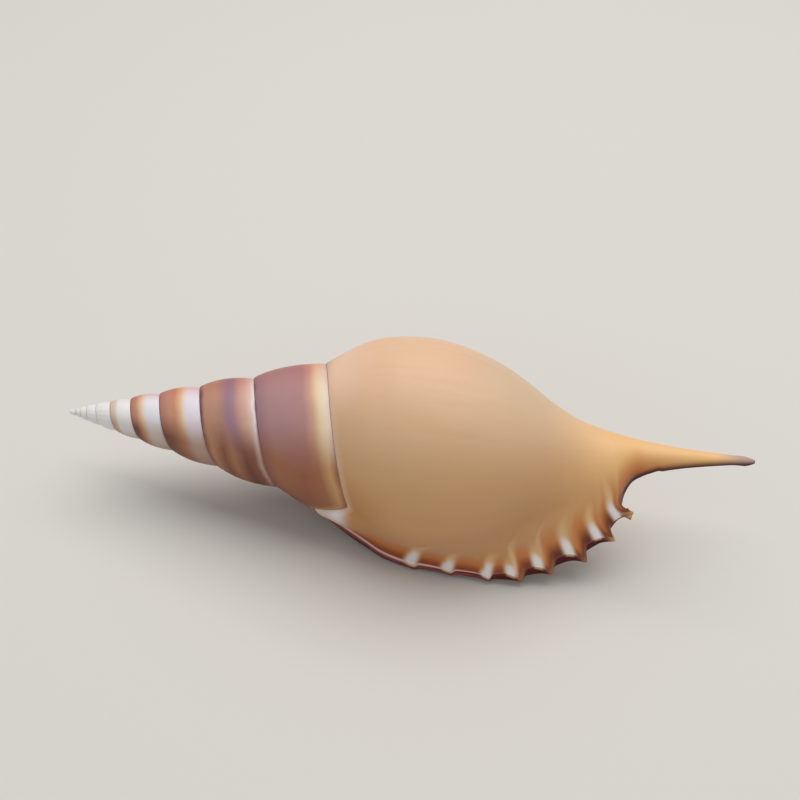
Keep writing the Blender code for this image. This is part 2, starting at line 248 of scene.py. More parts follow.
def coneRadius(x):
    # the spire's cone at its sutures: a slope times x, less by the waist before the body, plus a blunt apex
    # that fills out by one less an exponential
    slope = growth["coneSlope"] * (1.0 - growth["waist"] * (1.0 - softStep(x, *growth["waistX"])))
    return slope * x + growth["apexBulk"] * (1.0 - np.exp(-x / growth["apexReach"]))


def bodyRadius(share):
    # the body outline by share of the way from its suture to the canal's tip
    first = bodyOutline[0][0]
    return curveThrough(bodyOutline, first + share * (growth["length"] - first))[..., 0]


def spireRadius(x, turn):
    # the cone times one plus a sine bulge between two sutures, and past them the body outline in proportion
    here, ahead = sutureX(turn, False), sutureX(turn + 360.0, False)
    share = np.clip((x - here) / (ahead - here), 0.0, 1.0)
    swell = 1.0 + growth["bulge"] * np.sin(np.pi * share ** growth["bulgePower"])
    radius = coneRadius(np.minimum(x, ahead)) * swell
    endShare = (ahead - here) / (growth["length"] - here)
    past = bodyRadius(np.maximum((x - here) / (growth["length"] - here), endShare)) / bodyRadius(endShare)
    return radius * past


def wallRadius(x, turn):
    # the spire's radius turns softly into the body's: its outline times a power of the whorl ratio by turn,
    # held to the cone at the suture and to one at the canal, plus the belly's callus: a bell curve times a
    # sine squared
    here = sutureX(turn, False)
    share = np.clip((x - here) / (growth["length"] - here), 0.0, 1.0)
    grown = growth["whorlRatio"] ** ((np.minimum(turn, growth["backTurn"]) - growth["backTurn"]) / 360.0)
    grown = grown + growth["lateGrowth"] * softStep(turn, growth["backTurn"], 360.0)
    atSuture = coneRadius(here) / bodyRadius(np.zeros_like(share))
    grown = grown + (atSuture - grown) * (1.0 - softStep(share, *growth["sutureEase"]))
    grown = grown + (1.0 - grown) * softStep(share, *growth["canalEase"])
    belly = growth["callus"] * np.exp(-(((turn - growth["callusTurn"]) / growth["callusReach"]) ** 2))
    belly = belly * np.sin(np.pi * np.clip(share / growth["callusShare"], 0.0, 1.0)) ** 2
    body = grown * bodyRadius(share) + belly
    swollen = softStep(turn, *growth["bodyTurns"])
    return spireRadius(x, turn) * (1.0 - swollen) + body * swollen


def toPoints(x, radius, angle):
    # radius times cosine and sine of the angle round the axis, plus the canal's bend away from the lip
    way = np.clip((x - growth["canalBendX"]) / (growth["length"] - growth["canalBendX"]), 0.0, 1.0)
    bend = growth["canalBend"] * way ** growth["canalBendPower"]
    turned, bent = np.radians(angle), np.radians(growth["canalBendAngle"])
    y = radius * np.cos(turned) + bend * np.cos(bent)
    z = radius * np.sin(turned) + bend * np.sin(bent)
    return np.stack(np.broadcast_arrays(x, y, z), -1)


def lipLength():
    # the last entry of the table of lengths along the lip's outline
    return lipTable()[-1, 0]


def rowShares():
    # rows crowd towards both sutures by a cosine, and beyond them towards the lip's points by equal shares
    # of a running sum of bell curves
    start, end = sutureX(np.array(0.0)), sutureX(np.array(360.0), False)
    sutureShare = (end - start) / (growth["canalCloseX"] - start)
    behind = sutureShare * (1.0 - np.cos(np.pi * np.linspace(0.0, 1.0, grid["sutureRows"] + 1))) / 2.0
    fine = np.linspace(sutureShare, 1.0, grid["lengthSteps"])
    place = fine * lipLength()
    weight = np.ones_like(fine)
    for ribPlace in lip["ribPlaces"]:
        weight = weight + grid["pointCrowding"] * np.exp(-(((place - ribPlace) / grid["pointReach"]) ** 2))
    total = np.concatenate([[0.0], np.cumsum((weight[1:] + weight[:-1]) / 2.0)])
    wanted = np.linspace(0.0, total[-1], grid["mouthRows"] - grid["sutureRows"] + 1)
    return np.concatenate([behind, np.interp(wanted, total, fine)[1:]])


def columnTurns():
    # every turn has the same columns: even steps less a sine of them, so that they are closer near the lip
    share = np.arange(grid["columns"]) / grid["columns"]
    step = share - grid["crowding"] * np.sin(2.0 * np.pi * share) / (2.0 * np.pi)
    whole = np.arange(-grid["spireTurns"], 1)[:, None] + step[None, :]
    return np.append(360.0 * whole.ravel(), 360.0)


def rowX(turn, share):
    # rows lie at their share of the way from suture to canal, less a bell curve of the turn by the lobe
    start = sutureX(turn)
    sutureShare = rowShares()[grid["sutureRows"]]
    near = np.where(share < sutureShare, share / sutureShare, (1.0 - share) / (1.0 - sutureShare))
    pull = growth["lobeClimb"] * np.exp(-((turn / growth["lobeReach"]) ** 2)) * near
    return start + (growth["canalCloseX"] - start) * share - np.where(turn < 180.0, pull, 0.0)


def ribDistance(place, away):
    # a place along the lip, plus the rib's slant times the way from the edge, less the rib's own place
    slanted = place[..., None] + away[..., None] * np.array(lip["ribSlants"])
    return slanted - np.array(lip["whitePlaces"])


def lipTable():
    # the edge's outline with the running sum of the lengths between its points
    table = np.array(lip["outline"])
    along = np.concatenate([[0.0], np.cumsum(np.hypot(*np.diff(table, axis=0).T))])
    return np.column_stack([along, table])


def ribShares(place):
    # how far the edge belongs to each point: a soft bell curve towards the spire, a steep one to the canal
    gap = place[..., None] - np.array(lip["ribPlaces"])
    back = np.exp(-((np.abs(gap) / np.array(lip["pointBack"])) ** lip["pointPower"]))
    return np.where(gap < 0.0, back, np.exp(-((gap / lip["pointFront"]) ** 2)))


def lipPoints(share):
    # the points, out from the edge and hooked along it by the square of how far out they are
    table = lipTable()
    place = share * table[-1, 0]
    ahead = curveThrough(table, place + lip["slopeStep"]) - curveThrough(table, place - lip["slopeStep"])
    ahead = ahead / np.linalg.norm(ahead, axis=-1, keepdims=True)
    out = (ribShares(place) * np.array(lip["ribPoints"])).sum(-1)
    hook = lip["pointHook"] * (out / max(lip["ribPoints"])) ** 2
    return hook * ahead[..., 0] - out * ahead[..., 1], hook * ahead[..., 1] + out * ahead[..., 0]


def lipEdge(share):
    # the edge without its points, by share of its length: a curve in one half plane, turned in at the lobe
    table = lipTable()
    place = share * table[-1, 0]
    edge = curveThrough(table, place)
    lean = curveThrough(lip["lean"], share)[..., 0]
    return edge[..., 0], edge[..., 1], growth["lipAngle"] + 360.0 + lean, place


def ridgeLine(share):
    # the bevel line above the edge: the edge raised by the rim's height along a slant, less where it is cut
    x, radius, angle, place = lipEdge(share)
    cut = np.minimum((ribShares(place) * np.array(lip["ribCuts"])).sum(-1), 1.0)
    height = curveThrough(lip["rimHeight"], share)[..., 0] * (1.0 - cut)
    slant = np.radians(curveThrough(lip["rimSlant"], share)[..., 0])
    y = radius * np.cos(np.radians(angle)) - height * np.sin(slant)
    z = radius * np.sin(np.radians(angle)) + height * np.cos(slant)
    turned = np.degrees(np.arctan2(z, y)) % 360.0 + 360.0
    return x, np.hypot(y, z), turned


def outerWall(turn, share):
    # the whorl's wall, which the lobe bridges in a straight line up to the spire, blended to the bevel line
    # by a power of the way round the last half turn, plus the points times a bell curve of the way back
    x = rowX(turn, share)
    start, free = sutureX(turn), sutureX(turn, False)
    radius = np.where(x < free, wallRadius(x, turn - 360.0), wallRadius(x, turn))
    landing = free + growth["lobeBridge"]
    first, last = wallRadius(start, turn - 360.0), wallRadius(landing, turn)
    bridge = first + (last - first) * (x - start) / (landing - start)
    radius = np.where(x < landing, np.maximum(radius, bridge), radius)
    raised = softStep(x - start, 0.0, growth["lobeRiseReach"])
    raised = raised * (1.0 - softStep(x - free, 0.0, growth["lobeBridge"]))
    radius = radius + growth["lobeRise"] * raised * softStep(free - start, 0.0, growth["lobeRiseStart"])
    angle = growth["lipAngle"] + turn + 0.0 * x
    ridgeX, ridgeRadius, ridgeAngle = ridgeLine(share)
    way = np.clip((turn - lip["flareTurn"]) / (360.0 - lip["flareTurn"]), 0.0, 1.0)
    power = curveThrough(lip["flarePower"], share)[..., 0]
    flare = np.where(way > 0.0, np.maximum(way, 1e-6) ** power, 0.0)
    x = x + flare * (ridgeX - x)
    radius = radius + flare * (ridgeRadius - radius)
    angle = angle + flare * (ridgeAngle - growth["lipAngle"] - 360.0)
    pointX, pointRadius = lipPoints(share)
    near = np.exp(-((np.radians(360.0 - turn) * ridgeRadius / lip["pointReach"]) ** 2))
    return x + near * pointX, radius + near * pointRadius, angle


def surfaceNormals(points):
    # the cross product of the two directions along the grid, over its own length
    normal = np.cross(np.gradient(points, axis=0), np.gradient(points, axis=1))
    size = np.linalg.norm(normal, axis=-1, keepdims=True)
    return normal / np.maximum(size, 1e-12)


def sutureRelief(fromSuture, toSuture):
    # a groove by a bell curve on both sides of the suture, and a raised edge in front of it that fades away
    reach = relief["grooveReach"]
    groove = np.exp(-((fromSuture / reach) ** 2)) + np.exp(-((toSuture / reach) ** 2))
    rise = (1.0 - np.exp(-fromSuture / reach)) * np.exp(-fromSuture / (relief["edgeFade"] * reach))
    return relief["edgeRise"] * rise - relief["grooveDepth"] * groove


def spireGrid(turns, share):
    # whorls between two sutures, with ribs across the earliest: a cosine of the turn times a sine across
    turn = turns[:, None]
    start, end = sutureX(turn), sutureX(turn + 360.0)
    between = share[None, :] / share[-1]
    x = start + (end - start) * between
    radius = wallRadius(x, turn)
    early = 1.0 - softStep(x, *relief["axialX"])
    ribs = np.cos(np.radians(turn * relief["axialRibs"])) * np.sin(np.pi * between)
    radius = radius * (1.0 + relief["axialHeight"] * early * ribs)
    scale = np.minimum(1.0, radius / relief["fullRadius"])
    radius = radius + scale * sutureRelief((x - start) / scale, (end - x) / scale)
    return x, radius, growth["lipAngle"] + turn + 0.0 * x, between


class Layout:
    # Keeps the grids' points and readings one after another, and numbers the points.
    def __init__(self):
        self.points = []
        self.readings = {name: [] for name in plainReadings}
        self.used = 0

    def add(self, points, **given):
        # gives back the numbers of the points in the shape of their grid
        shape = points.shape[:-1]
        self.points.append(points.reshape(-1, 3))
        for name, plain in plainReadings.items():
            self.readings[name].append(np.broadcast_to(given.get(name, plain), shape).ravel())
        numbers = self.used + np.arange(int(np.prod(shape))).reshape(shape)
        self.used += numbers.size
        return numbers


def layBody(layout, turns, shares):
    # the body whorl's wall, with the suture's relief, which fades out at the lip, and the white ribs raised
    # along the normal by a bell curve across them times an exponential up the wall
    turn, share = turns[:, None], shares[None, :]
    x, radius, angle = outerWall(turn, share)
    start = sutureX(turn)
    beforeLip = softStep(360.0 - turn, 0.0, relief["lipFade"])
    radius = radius + sutureRelief(x - start, np.ones_like(x)) * beforeLip
    radius[:, 0] = wallRadius(start, turn - 360.0)[:, 0] - relief["grooveDepth"]
    points = toPoints(x, radius, angle)
    place = share * lipLength()
    steps = np.linalg.norm(np.diff(points, axis=0), axis=-1)
    away = np.concatenate([np.cumsum(steps[::-1], axis=0)[::-1], np.zeros((1, steps.shape[1]))])
    fold = np.exp(-((ribDistance(place, away) / lip["ribWidth"]) ** 2)).sum(-1)
    fold = fold * np.exp(-away / lip["ribFade"])
    points = points + surfaceNormals(points) * (lip["ribHeight"] * fold)[..., None]
    between = (x - start) / (sutureX(turn + 360.0, False) - start)
    numbers = layout.add(points, turn=turn, between=between, fromSuture=x - start, away=away, place=place)
    return numbers, points


def layCanal(layout, turns):
    # the closed canal past the mouth: the wall's radius less a slit, a bell curve of the way round from the
    # lip's angle; the way from that seam stands for the way from the lip's edge
    turn, close = turns[:, None], growth["canalCloseX"]
    x = close + (growth["length"] - close) * np.linspace(0.0, 1.0, grid["canalRows"] + 1)[None, :]
    radius = wallRadius(x, turn)
    offset = np.radians(np.abs((turn + 180.0) % 360.0 - 180.0))
    ease = softStep(x - close, *relief["slitStart"]) * (1.0 - softStep(x, *relief["slitEnd"]))
    slit = np.exp(-((offset * radius / relief["slitWidth"]) ** 2)) * relief["slitDepth"] * ease
    radius = radius * (1.0 - slit)
    behind = relief["seamWidth"] * (1.0 - softStep(x - close, 0.0, relief["seamFade"]))
    away = offset * radius[:, :1] + np.where(turn < 180.0, behind, 0.0)
    points = toPoints(x, radius, growth["lipAngle"] + turn + 0.0 * x)
    return layout.add(points, turn=turn, fromSuture=x - sutureX(turn), away=away, place=lipLength())


def innerSide(shares):
    # the lip's inner side and the roof behind it: the outer wall less its thickness along the normal
    turn = np.append(360.0, 360.0 - np.array(hollow["depths"]))[:, None]
    points = toPoints(*outerWall(turn, shares[None, :]))
    normals = surfaceNormals(points[::-1])[::-1]
    thick = softStep(shares, *lip["thickBack"]) * (1.0 - softStep(shares, *lip["thickFront"]))
    return points - normals * (lip["thickness"] * thick)[:, None]


def layRim(layout, ridge, inner, shares):
    # a quarter of a squarish round from the bevel line past the edge to the lip's inner side: a corner plus
    # the two sides times powers of a cosine and a sine
    edgeX, edgeRadius, edgeAngle, place = lipEdge(shares)
    pointX, pointRadius = lipPoints(shares)
    edge = toPoints(edgeX + pointX, edgeRadius + pointRadius, edgeAngle)
    corner = ridge + inner - edge
    sweep = np.radians(np.linspace(0.0, 90.0, grid["rimColumns"] + 1))[:, None, None]
    power = lip["rimSquareness"]
    points = corner + (ridge - corner) * np.cos(sweep) ** power + (inner - corner) * np.sin(sweep) ** power
    steps = np.linalg.norm(np.diff(points, axis=0), axis=-1)
    depth = np.concatenate([np.zeros((1, steps.shape[1])), np.cumsum(steps, axis=0)])
    return layout.add(points, turn=360.0, place=place, rim=depth)


def layHollow(layout, roof, shares):
    # rings of roof rows and of floor rows back to the suture, which settle with depth into a closed tunnel:
    # the middle of the gap, plus or less half of it times a root of one less a power of the way across
    depth = np.array(hollow["depths"])[:, None]
    turn = 360.0 - depth
    sutureShare = shares[grid["sutureRows"]]
    floorShares = shares[grid["mouthRows"] - 1 : grid["sutureRows"] : -1]
    floorX = rowX(-depth, floorShares[None, :])
    floor = toPoints(floorX, wallRadius(floorX, -depth), growth["lipAngle"] - depth + 0.0 * floorX)
    free, close = sutureX(turn, False), growth["canalCloseX"]
    back = sutureX(turn) + hollow["backGap"]
    deepFront = free + hollow["frontShare"] * (growth["length"] - free)
    front = close + (deepFront - close) * softStep(depth, *hollow["frontTurns"])
    roofWay = (1.0 - np.cos(np.pi * shares)) / 2.0
    floorWay = (1.0 - np.cos(np.pi * (floorShares - sutureShare) / (1.0 - sutureShare))) / 2.0
    way = np.append(roofWay, floorWay)[None, :]
    side = np.append(np.ones_like(roofWay), -np.ones_like(floorWay))[None, :]
    x = back + (front - back) * way
    top = wallRadius(x, turn) - hollow["wall"]
    base = wallRadius(x, -depth)
    half = np.maximum((top - base) / 2.0, hollow["leastHalfGap"])
    fullness = np.sqrt(np.clip(1.0 - np.abs(2.0 * way - 1.0) ** hollow["endPower"], 0.0, 1.0))
    radius = (top + base) / 2.0 + side * half * fullness
    tunnel = toPoints(x, radius, growth["lipAngle"] + turn + 0.0 * x)
    rings = np.concatenate([roof, floor], axis=1)
    rings = rings + softStep(depth, *hollow["settleTurns"])[..., None] * (tunnel - rings)
    return layout.add(rings, turn=turn, rim=endReadings["rim"], deep=depth), rings[-1]


def apexDome(ring):
    # rings from the first whorl's end to the apex: x times one less a cosine, and the rest times a sine
    lift = np.radians(np.linspace(90.0, 0.0, grid["apexRings"] + 1))[:, None]
    rings = ring[:, 0] * (1.0 - np.cos(lift)), ring[:, 1] * np.sin(lift), ring[:, 2] * np.sin(lift)
    return np.stack(np.broadcast_arrays(*rings), -1)


def cells(numbers):
    # two triangles for each cell of a grid of numbers
    a, b, c, d = numbers[:-1, :-1], numbers[:-1, 1:], numbers[1:, 1:], numbers[1:, :-1]
    halves = np.stack([a, c, b], -1), np.stack([a, d, c], -1)
    return np.concatenate([half.reshape(-1, 3) for half in halves])


def cone(middle, ring):
    # triangles from one point to a closed ring
    return np.column_stack([np.full(len(ring), middle), np.roll(ring, -1), ring])


def meshArrays():
    # every grid is laid out with its own corners, then corners at one place are welded by number
    turns, shares = columnTurns(), rowShares()
    perTurn, spireRows, mouthRows = grid["columns"], grid["sutureRows"], grid["mouthRows"]
    firstBody = perTurn * grid["spireTurns"]
    spireTurns, bodyTurns = turns[: firstBody + 1], turns[firstBody:]
    layout = Layout()

    x, radius, angle, between = spireGrid(spireTurns, shares[: spireRows + 1])
    spirePoints, fromSuture = toPoints(x, radius, angle), x - x[:, :1]
    turn, far = spireTurns[:, None], apexReadings["away"]
    spire = layout.add(spirePoints, turn=turn, between=between, fromSuture=fromSuture, away=far)
    print("spire laid out")

    body, bodyPoints = layBody(layout, bodyTurns, shares)
    canal = layCanal(layout, bodyTurns)
    print("body laid out")

    inner = innerSide(shares)
    rim = layRim(layout, bodyPoints[-1], inner[0], shares)
    rings, lastRing = layHollow(layout, inner[1:], shares)
    print("mouth laid out")

    # poles: the apex, the canal's tip and the deep end of the hollow
    startRing = np.append(spire[: perTurn + 1, 0], spire[0, spireRows - 1 : 0 : -1])
    dome = layout.add(apexDome(np.concatenate(layout.points)[startRing])[:-1], **apexReadings)
    apex = layout.add(np.zeros((1, 3)), **apexReadings)[0]
    tipPoint = toPoints(np.full(1, growth["length"]), np.zeros(1), np.zeros(1))
    tip = layout.add(tipPoint, place=lipLength(), **tipReadings)[0]
    endPoint = lastRing.mean(axis=0, keepdims=True)
    end = layout.add(endPoint, **endReadings)[0]

    # welds: the number of the point that each point really is
    weld = np.arange(layout.used)
    weld[spire[:, spireRows][: firstBody + 1 - perTurn]] = spire[perTurn:, 0]
    weld[spire[firstBody, : spireRows + 1]] = body[0, : spireRows + 1]
    weld[spire[firstBody - perTurn : firstBody, spireRows]] = body[:-1, 0]
    weld[body[-1, 0]] = body[0, spireRows]
    weld[body[-1, mouthRows]] = body[0, mouthRows]
    weld[canal[:, 0]] = body[:, mouthRows]
    weld[canal[-1, :]] = canal[0, :]
    weld[canal[-1, 0]] = body[0, mouthRows]
    weld[dome[0]] = startRing
    weld[rim[0]] = body[-1]
    weld[rim[:, 0]] = body[0, spireRows]
    weld[rim[:, mouthRows]] = body[0, mouthRows]

    mouth = np.append(rim[-1], body[0, mouthRows - 1 : spireRows : -1])
    loops = np.vstack([mouth, rings])
    faces = np.concatenate([
        cells(spire), cells(body), cells(canal), cells(rim),
        cells(np.column_stack([loops, loops[:, 0]])), cells(np.column_stack([dome, dome[:, 0]])),
        cone(apex, dome[-1]), cone(tip, canal[:-1, -1][::-1]), cone(end, rings[-1]),
    ])
    real = weld[faces]
    kept = (real[:, 0] != real[:, 1]) & (real[:, 1] != real[:, 2]) & (real[:, 2] != real[:, 0])
    readings = {name: np.concatenate(value) for name, value in layout.readings.items()}
    return np.concatenate(layout.points), readings, faces[kept], real[kept]


def makeMesh(name, points, readings, corners, faces):
    # points that faces use are renumbered, and the readings are kept on each face's corners
    numbers, faces = np.unique(faces, return_inverse=True)
    faces = faces.reshape(-1, 3)
    mesh = bpy.data.meshes.new(name)
    mesh.vertices.add(len(numbers))
    mesh.vertices.foreach_set("co", points[numbers].astype(np.float32).ravel())
    mesh.loops.add(faces.size)
    mesh.loops.foreach_set("vertex_index", faces.ravel().astype(np.int32))
    mesh.polygons.add(len(faces))
    mesh.polygons.foreach_set("loop_start", np.arange(0, faces.size, 3, dtype=np.int32))
    mesh.update(calc_edges=True)
    for key, values in readings.items():
        layer = mesh.attributes.new(key, "FLOAT", "CORNER")
        layer.data.foreach_set("value", values[corners.ravel()].astype(np.float32))
    mesh.shade_smooth()
    return mesh


class Signal:
    # A socket that can be written into sums: each operator adds one Math node.
    def __init__(self, maker, socket):
        self.maker = maker
        self.socket = socket

    def math(self, operation, *others):
        return self.maker.math(operation, self, *others)

    def __add__(self, other):
        return self.math("ADD", other)

    def __radd__(self, other):
        return self.maker.math("ADD", other, self)

    def __sub__(self, other):
        return self.math("SUBTRACT", other)

    def __rsub__(self, other):
        return self.maker.math("SUBTRACT", other, self)

    def __mul__(self, other):
        return self.math("MULTIPLY", other)

    def __truediv__(self, other):
        return self.math("DIVIDE", other)


class Maker:
    # Builds one material's nodes.
    def __init__(self, name):
        self.material = bpy.data.materials.new(name)
        self.material.use_nodes = True
        self.tree = self.material.node_tree
        self.surface = self.tree.nodes["Principled BSDF"]

    def node(self, kind, settings=None, sockets=None, out=0):
        # settings first, then the sockets' values or links; gives the output back as a signal
        made = self.tree.nodes.new(kind)
        for key, value in (settings or {}).items():
            if key == "stops":
                self.setStops(made.color_ramp, value)
            elif key == "curve":
                self.setCurve(made.mapping, value)
            else:
                setattr(made, key, value)
        for key, value in (sockets or {}).items():
            self.feed(made.inputs[key], value)
        return Signal(self, made.outputs[out])

    def setStops(self, ramp, stops):
        while len(ramp.elements) > 1:
            ramp.elements.remove(ramp.elements[-1])
        ramp.elements[0].position, ramp.elements[0].color = stops[0][0], (*stops[0][1], 1.0)
        for place, colour in stops[1:]:
            ramp.elements.new(place).color = (*colour, 1.0)

    def setCurve(self, mapping, points):
        curve = mapping.curves[0].points
        for place, height in points[1:-1]:
            curve.new(place, height)
        curve[0].location, curve[-1].location = points[0], points[-1]
        mapping.update()

    def feed(self, socket, value):
        if isinstance(value, Signal):
            self.tree.links.new(value.socket, socket)
        else:
            socket.default_value = value

    def math(self, operation, *values):
        return self.node("ShaderNodeMath", {"operation": operation}, dict(enumerate(values)))

    def reading(self, name):
        return self.node("ShaderNodeAttribute", {"attribute_name": name}, out="Fac")

    def ramp(self, value, stops):
        return self.node("ShaderNodeValToRGB", {"stops": stops}, {0: value})

    def step(self, value, start, end):
        # 0 before start and 1 after end, softly between; a start past the end turns it round
        sockets = {"Value": value, "From Min": start, "From Max": end}
        return self.node("ShaderNodeMapRange", {"interpolation_type": "SMOOTHSTEP"}, sockets)

    def bell(self, value, sharpness=1.0):
        # the exponential of less the sharpness times the square of the value
        return (value * value * -sharpness).math("EXPONENT")

    def mask(self, on, mask):
        # a share times a soft step of each reading that the mask names
        share, *steps = mask
        for name, start, end in steps:
            share = self.step(on[name], start, end) * share
        return share

    def layers(self, on, colour, layers):
        # each layer's colour blended in by its mask
        for over, mask in layers.values():
            colour = self.blend(self.mask(on, mask), colour, over)
        return colour

    def blend(self, share, first, second, kind="MIX"):
        settings = {"data_type": "RGBA", "blend_type": kind, "clamp_factor": True}
        first = (*first, 1.0) if isinstance(first, tuple) else first
        second = (*second, 1.0) if isinstance(second, tuple) else second
        return self.node("ShaderNodeMix", settings, {0: share, 6: first, 7: second}, out=2)

    def noise(self, vector, scale, detail=2.0, roughness=0.5):
        sockets = {"Vector": vector, "Scale": scale, "Detail": detail, "Roughness": roughness}
        return self.node("ShaderNodeTexNoise", {}, sockets, out="Fac")

    def vector(self, x, y, z=0.0):
        return self.node("ShaderNodeCombineXYZ", {}, {0: x, 1: y, 2: z})


def tone(red, green, blue):
    # a screen colour of 0 to 255 as light
    share = np.array([red, green, blue]) / 255.0
    light = np.where(share <= 0.04045, share / 12.92, ((share + 0.055) / 1.055) ** 2.4)
    return tuple(float(v) for v in light)


millimetres = 1000.0  # in a metre: the paint below works in millimetres

# The spire's paint box, roughly from its palest to its darkest.
spirePaints = {
    "ivory": (236, 232, 224), "bone": (236, 232, 231), "white": (234, 228, 230),
    "pearl": (229, 227, 233), "lilacPearl": (229, 220, 227), "milk": (236, 220, 216),
    "chalk": (225, 216, 211), "cream": (232, 212, 189), "butter": (230, 204, 166),
    "paleSand": (226, 204, 186), "blush": (221, 195, 184), "ash": (210, 188, 186),
    "wax": (214, 188, 168), "oat": (205, 186, 173), "peach": (226, 179, 138),
    "salmon": (212, 168, 150), "biscuit": (206, 172, 146), "honey": (206, 156, 104),
    "rosyTan": (206, 158, 134), "fawn": (196, 158, 140), "mouse": (186, 154, 137),
    "toffee": (186, 146, 122), "softRose": (196, 148, 134), "clay": (199, 142, 120),
    "warmClay": (202, 142, 112), "tan": (190, 142, 119), "caramel": (186, 131, 91),
    "rose": (179, 136, 136), "rosewood": (178, 132, 128), "dustyTan": (176, 130, 120),
    "terracotta": (184, 125, 107), "paleMauve": (164, 126, 138), "dustyMauve": (162, 122, 130),
    "mauve": (156, 120, 138), "nutmeg": (174, 116, 82), "copper": (166, 106, 72),
    "sienna": (156, 94, 66), "russet": (150, 108, 94), "brick": (145, 87, 71),
    "umber": (136, 90, 84), "hazel": (135, 80, 57), "plum": (124, 86, 96),
    "wine": (120, 66, 62), "bark": (119, 66, 46), "walnut": (110, 62, 52),
    "cocoa": (94, 50, 41), "darkPlum": (92, 58, 66),
}

# Bands of the last five whorls, by the share of the way from a whorl's own suture to the next.
upperBands = {
    -5: {0.0: "wax", 0.28: "paleSand", 0.42: "bone", 1.0: "bone"},
    -4: {
        0.0: "brick", 0.05: "terracotta", 0.22: "clay", 0.34: "peach", 0.46: "cream", 0.60: "pearl",
        1.0: "pearl",
    },
    -3: {
        0.0: "wine", 0.05: "terracotta", 0.24: "clay", 0.40: "warmClay", 0.53: "peach", 0.62: "cream",
        0.70: "lilacPearl", 1.0: "lilacPearl",
    },
    -2: {
        0.0: "darkPlum", 0.035: "umber", 0.09: "tan", 0.30: "tan", 0.42: "dustyTan", 0.53: "mauve",
        0.63: "paleMauve", 0.72: "softRose", 0.84: "salmon", 0.93: "blush", 0.97: "milk", 1.0: "ash",
    },
    -1: {
        0.0: "plum", 0.03: "dustyMauve", 0.20: "rose", 0.45: "rose", 0.66: "rosewood", 0.77: "rosyTan",
        0.86: "butter", 0.94: "cream", 1.0: "blush",
    },
}
# The side that faces down: browner and darker copies of the bands above, partly the whorls' own colour and
# partly painted shade.
lowerBandsWithShade = {
    -5: {0.0: "toffee", 0.28: "biscuit", 0.42: "chalk", 1.0: "chalk"},
    -4: {0.0: "cocoa", 0.20: "bark", 0.38: "caramel", 0.60: "oat", 1.0: "oat"},
    -3: {0.0: "cocoa", 0.30: "hazel", 0.55: "nutmeg", 0.72: "mouse", 1.0: "mouse"},
    -2: {
        0.0: "walnut", 0.14: "caramel", 0.34: "hazel", 0.50: "nutmeg", 0.70: "bark", 0.88: "brick",
        0.95: "fawn", 1.0: "russet",
    },
    -1: {0.0: "brick", 0.20: "copper", 0.55: "sienna", 0.78: "copper", 0.92: "honey", 1.0: "copper"},
}

# How the bands lie. A phase is the share of a turn: 0.76 faces the camera, which sees 0 as the lower edge
# and 0.5 as the upper one.
# A mask is a share and the soft steps that multiply it: each a reading, where it starts and where it ends.
spireLook = {
    "wanderScale": (0.04, 2.0),
    "wander": 0.10,
    "startTurns": (15.0, 165.0),
    # The side that faces down, which gets the darker bands, partly the whorls' own colour and partly
    # painted shade; below it, a brown multiplied over that side of the later whorls, as painted shade.
    "low": [(1.0, ("phase", 0.73, 0.86)), (1.0, ("phase", 0.42, 0.12))],
    "lowShadeWander": 0.5,
    "deepShadeBrown": tone(168, 116, 92),
    "lowestShade": [
        (0.45, ("phase", 0.86, 0.99), ("turn", -1750.0, -1400.0)),
        (0.45, ("phase", 0.20, 0.02), ("turn", -1750.0, -1400.0)),
    ],
    "topRed": tone(238, 170, 158),
    "top": (0.7, ("phase", 0.68, 0.52), ("phase", 0.30, 0.45), ("turn", -1800.0, -1300.0)),
}


def bandRamp(paint, across, bands):
    # a colour ramp of the named paints at their shares of the way across
    return paint.ramp(across, [(at, tone(*spirePaints[name])) for at, name in bands.items()])


def spireColour(paint, on):
    # the bands of each whorl, blended in on the hidden side over the ivory tip; a whorl is browner and
    # darker where it faces down, partly its own colour and partly painted shade, and redder where it faces
    # up, by soft steps of its phase
    turnScale, acrossScale = spireLook["wanderScale"]
    wander = paint.noise(paint.vector(on["turn"] * turnScale, on["between"] * acrossScale), 1.0) - 0.5
    across = on["between"] + wander * spireLook["wander"]
    low, lowestShade = (sum(paint.mask(on, mask) for mask in spireLook[key]) for key in ("low", "lowestShade"))
    low = low + wander * spireLook["lowShadeWander"]
    colour = bandRamp(paint, on["between"], {0.0: "ivory", 1.0: "white"})
    for whorl, bands in upperBands.items():
        here = paint.step(on["turn"], *(360.0 * whorl + turn for turn in spireLook["startTurns"]))
        upper, lower = bandRamp(paint, across, bands), bandRamp(paint, across, lowerBandsWithShade[whorl])
        colour = paint.blend(here, colour, paint.blend(low, upper, lower))
    # painted shade: a brown multiplied over the side that faces down
    colour = paint.blend(lowestShade, colour, spireLook["deepShadeBrown"], "MULTIPLY")
    return paint.blend(paint.mask(on, spireLook["top"]), colour, spireLook["topRed"], "MULTIPLY")
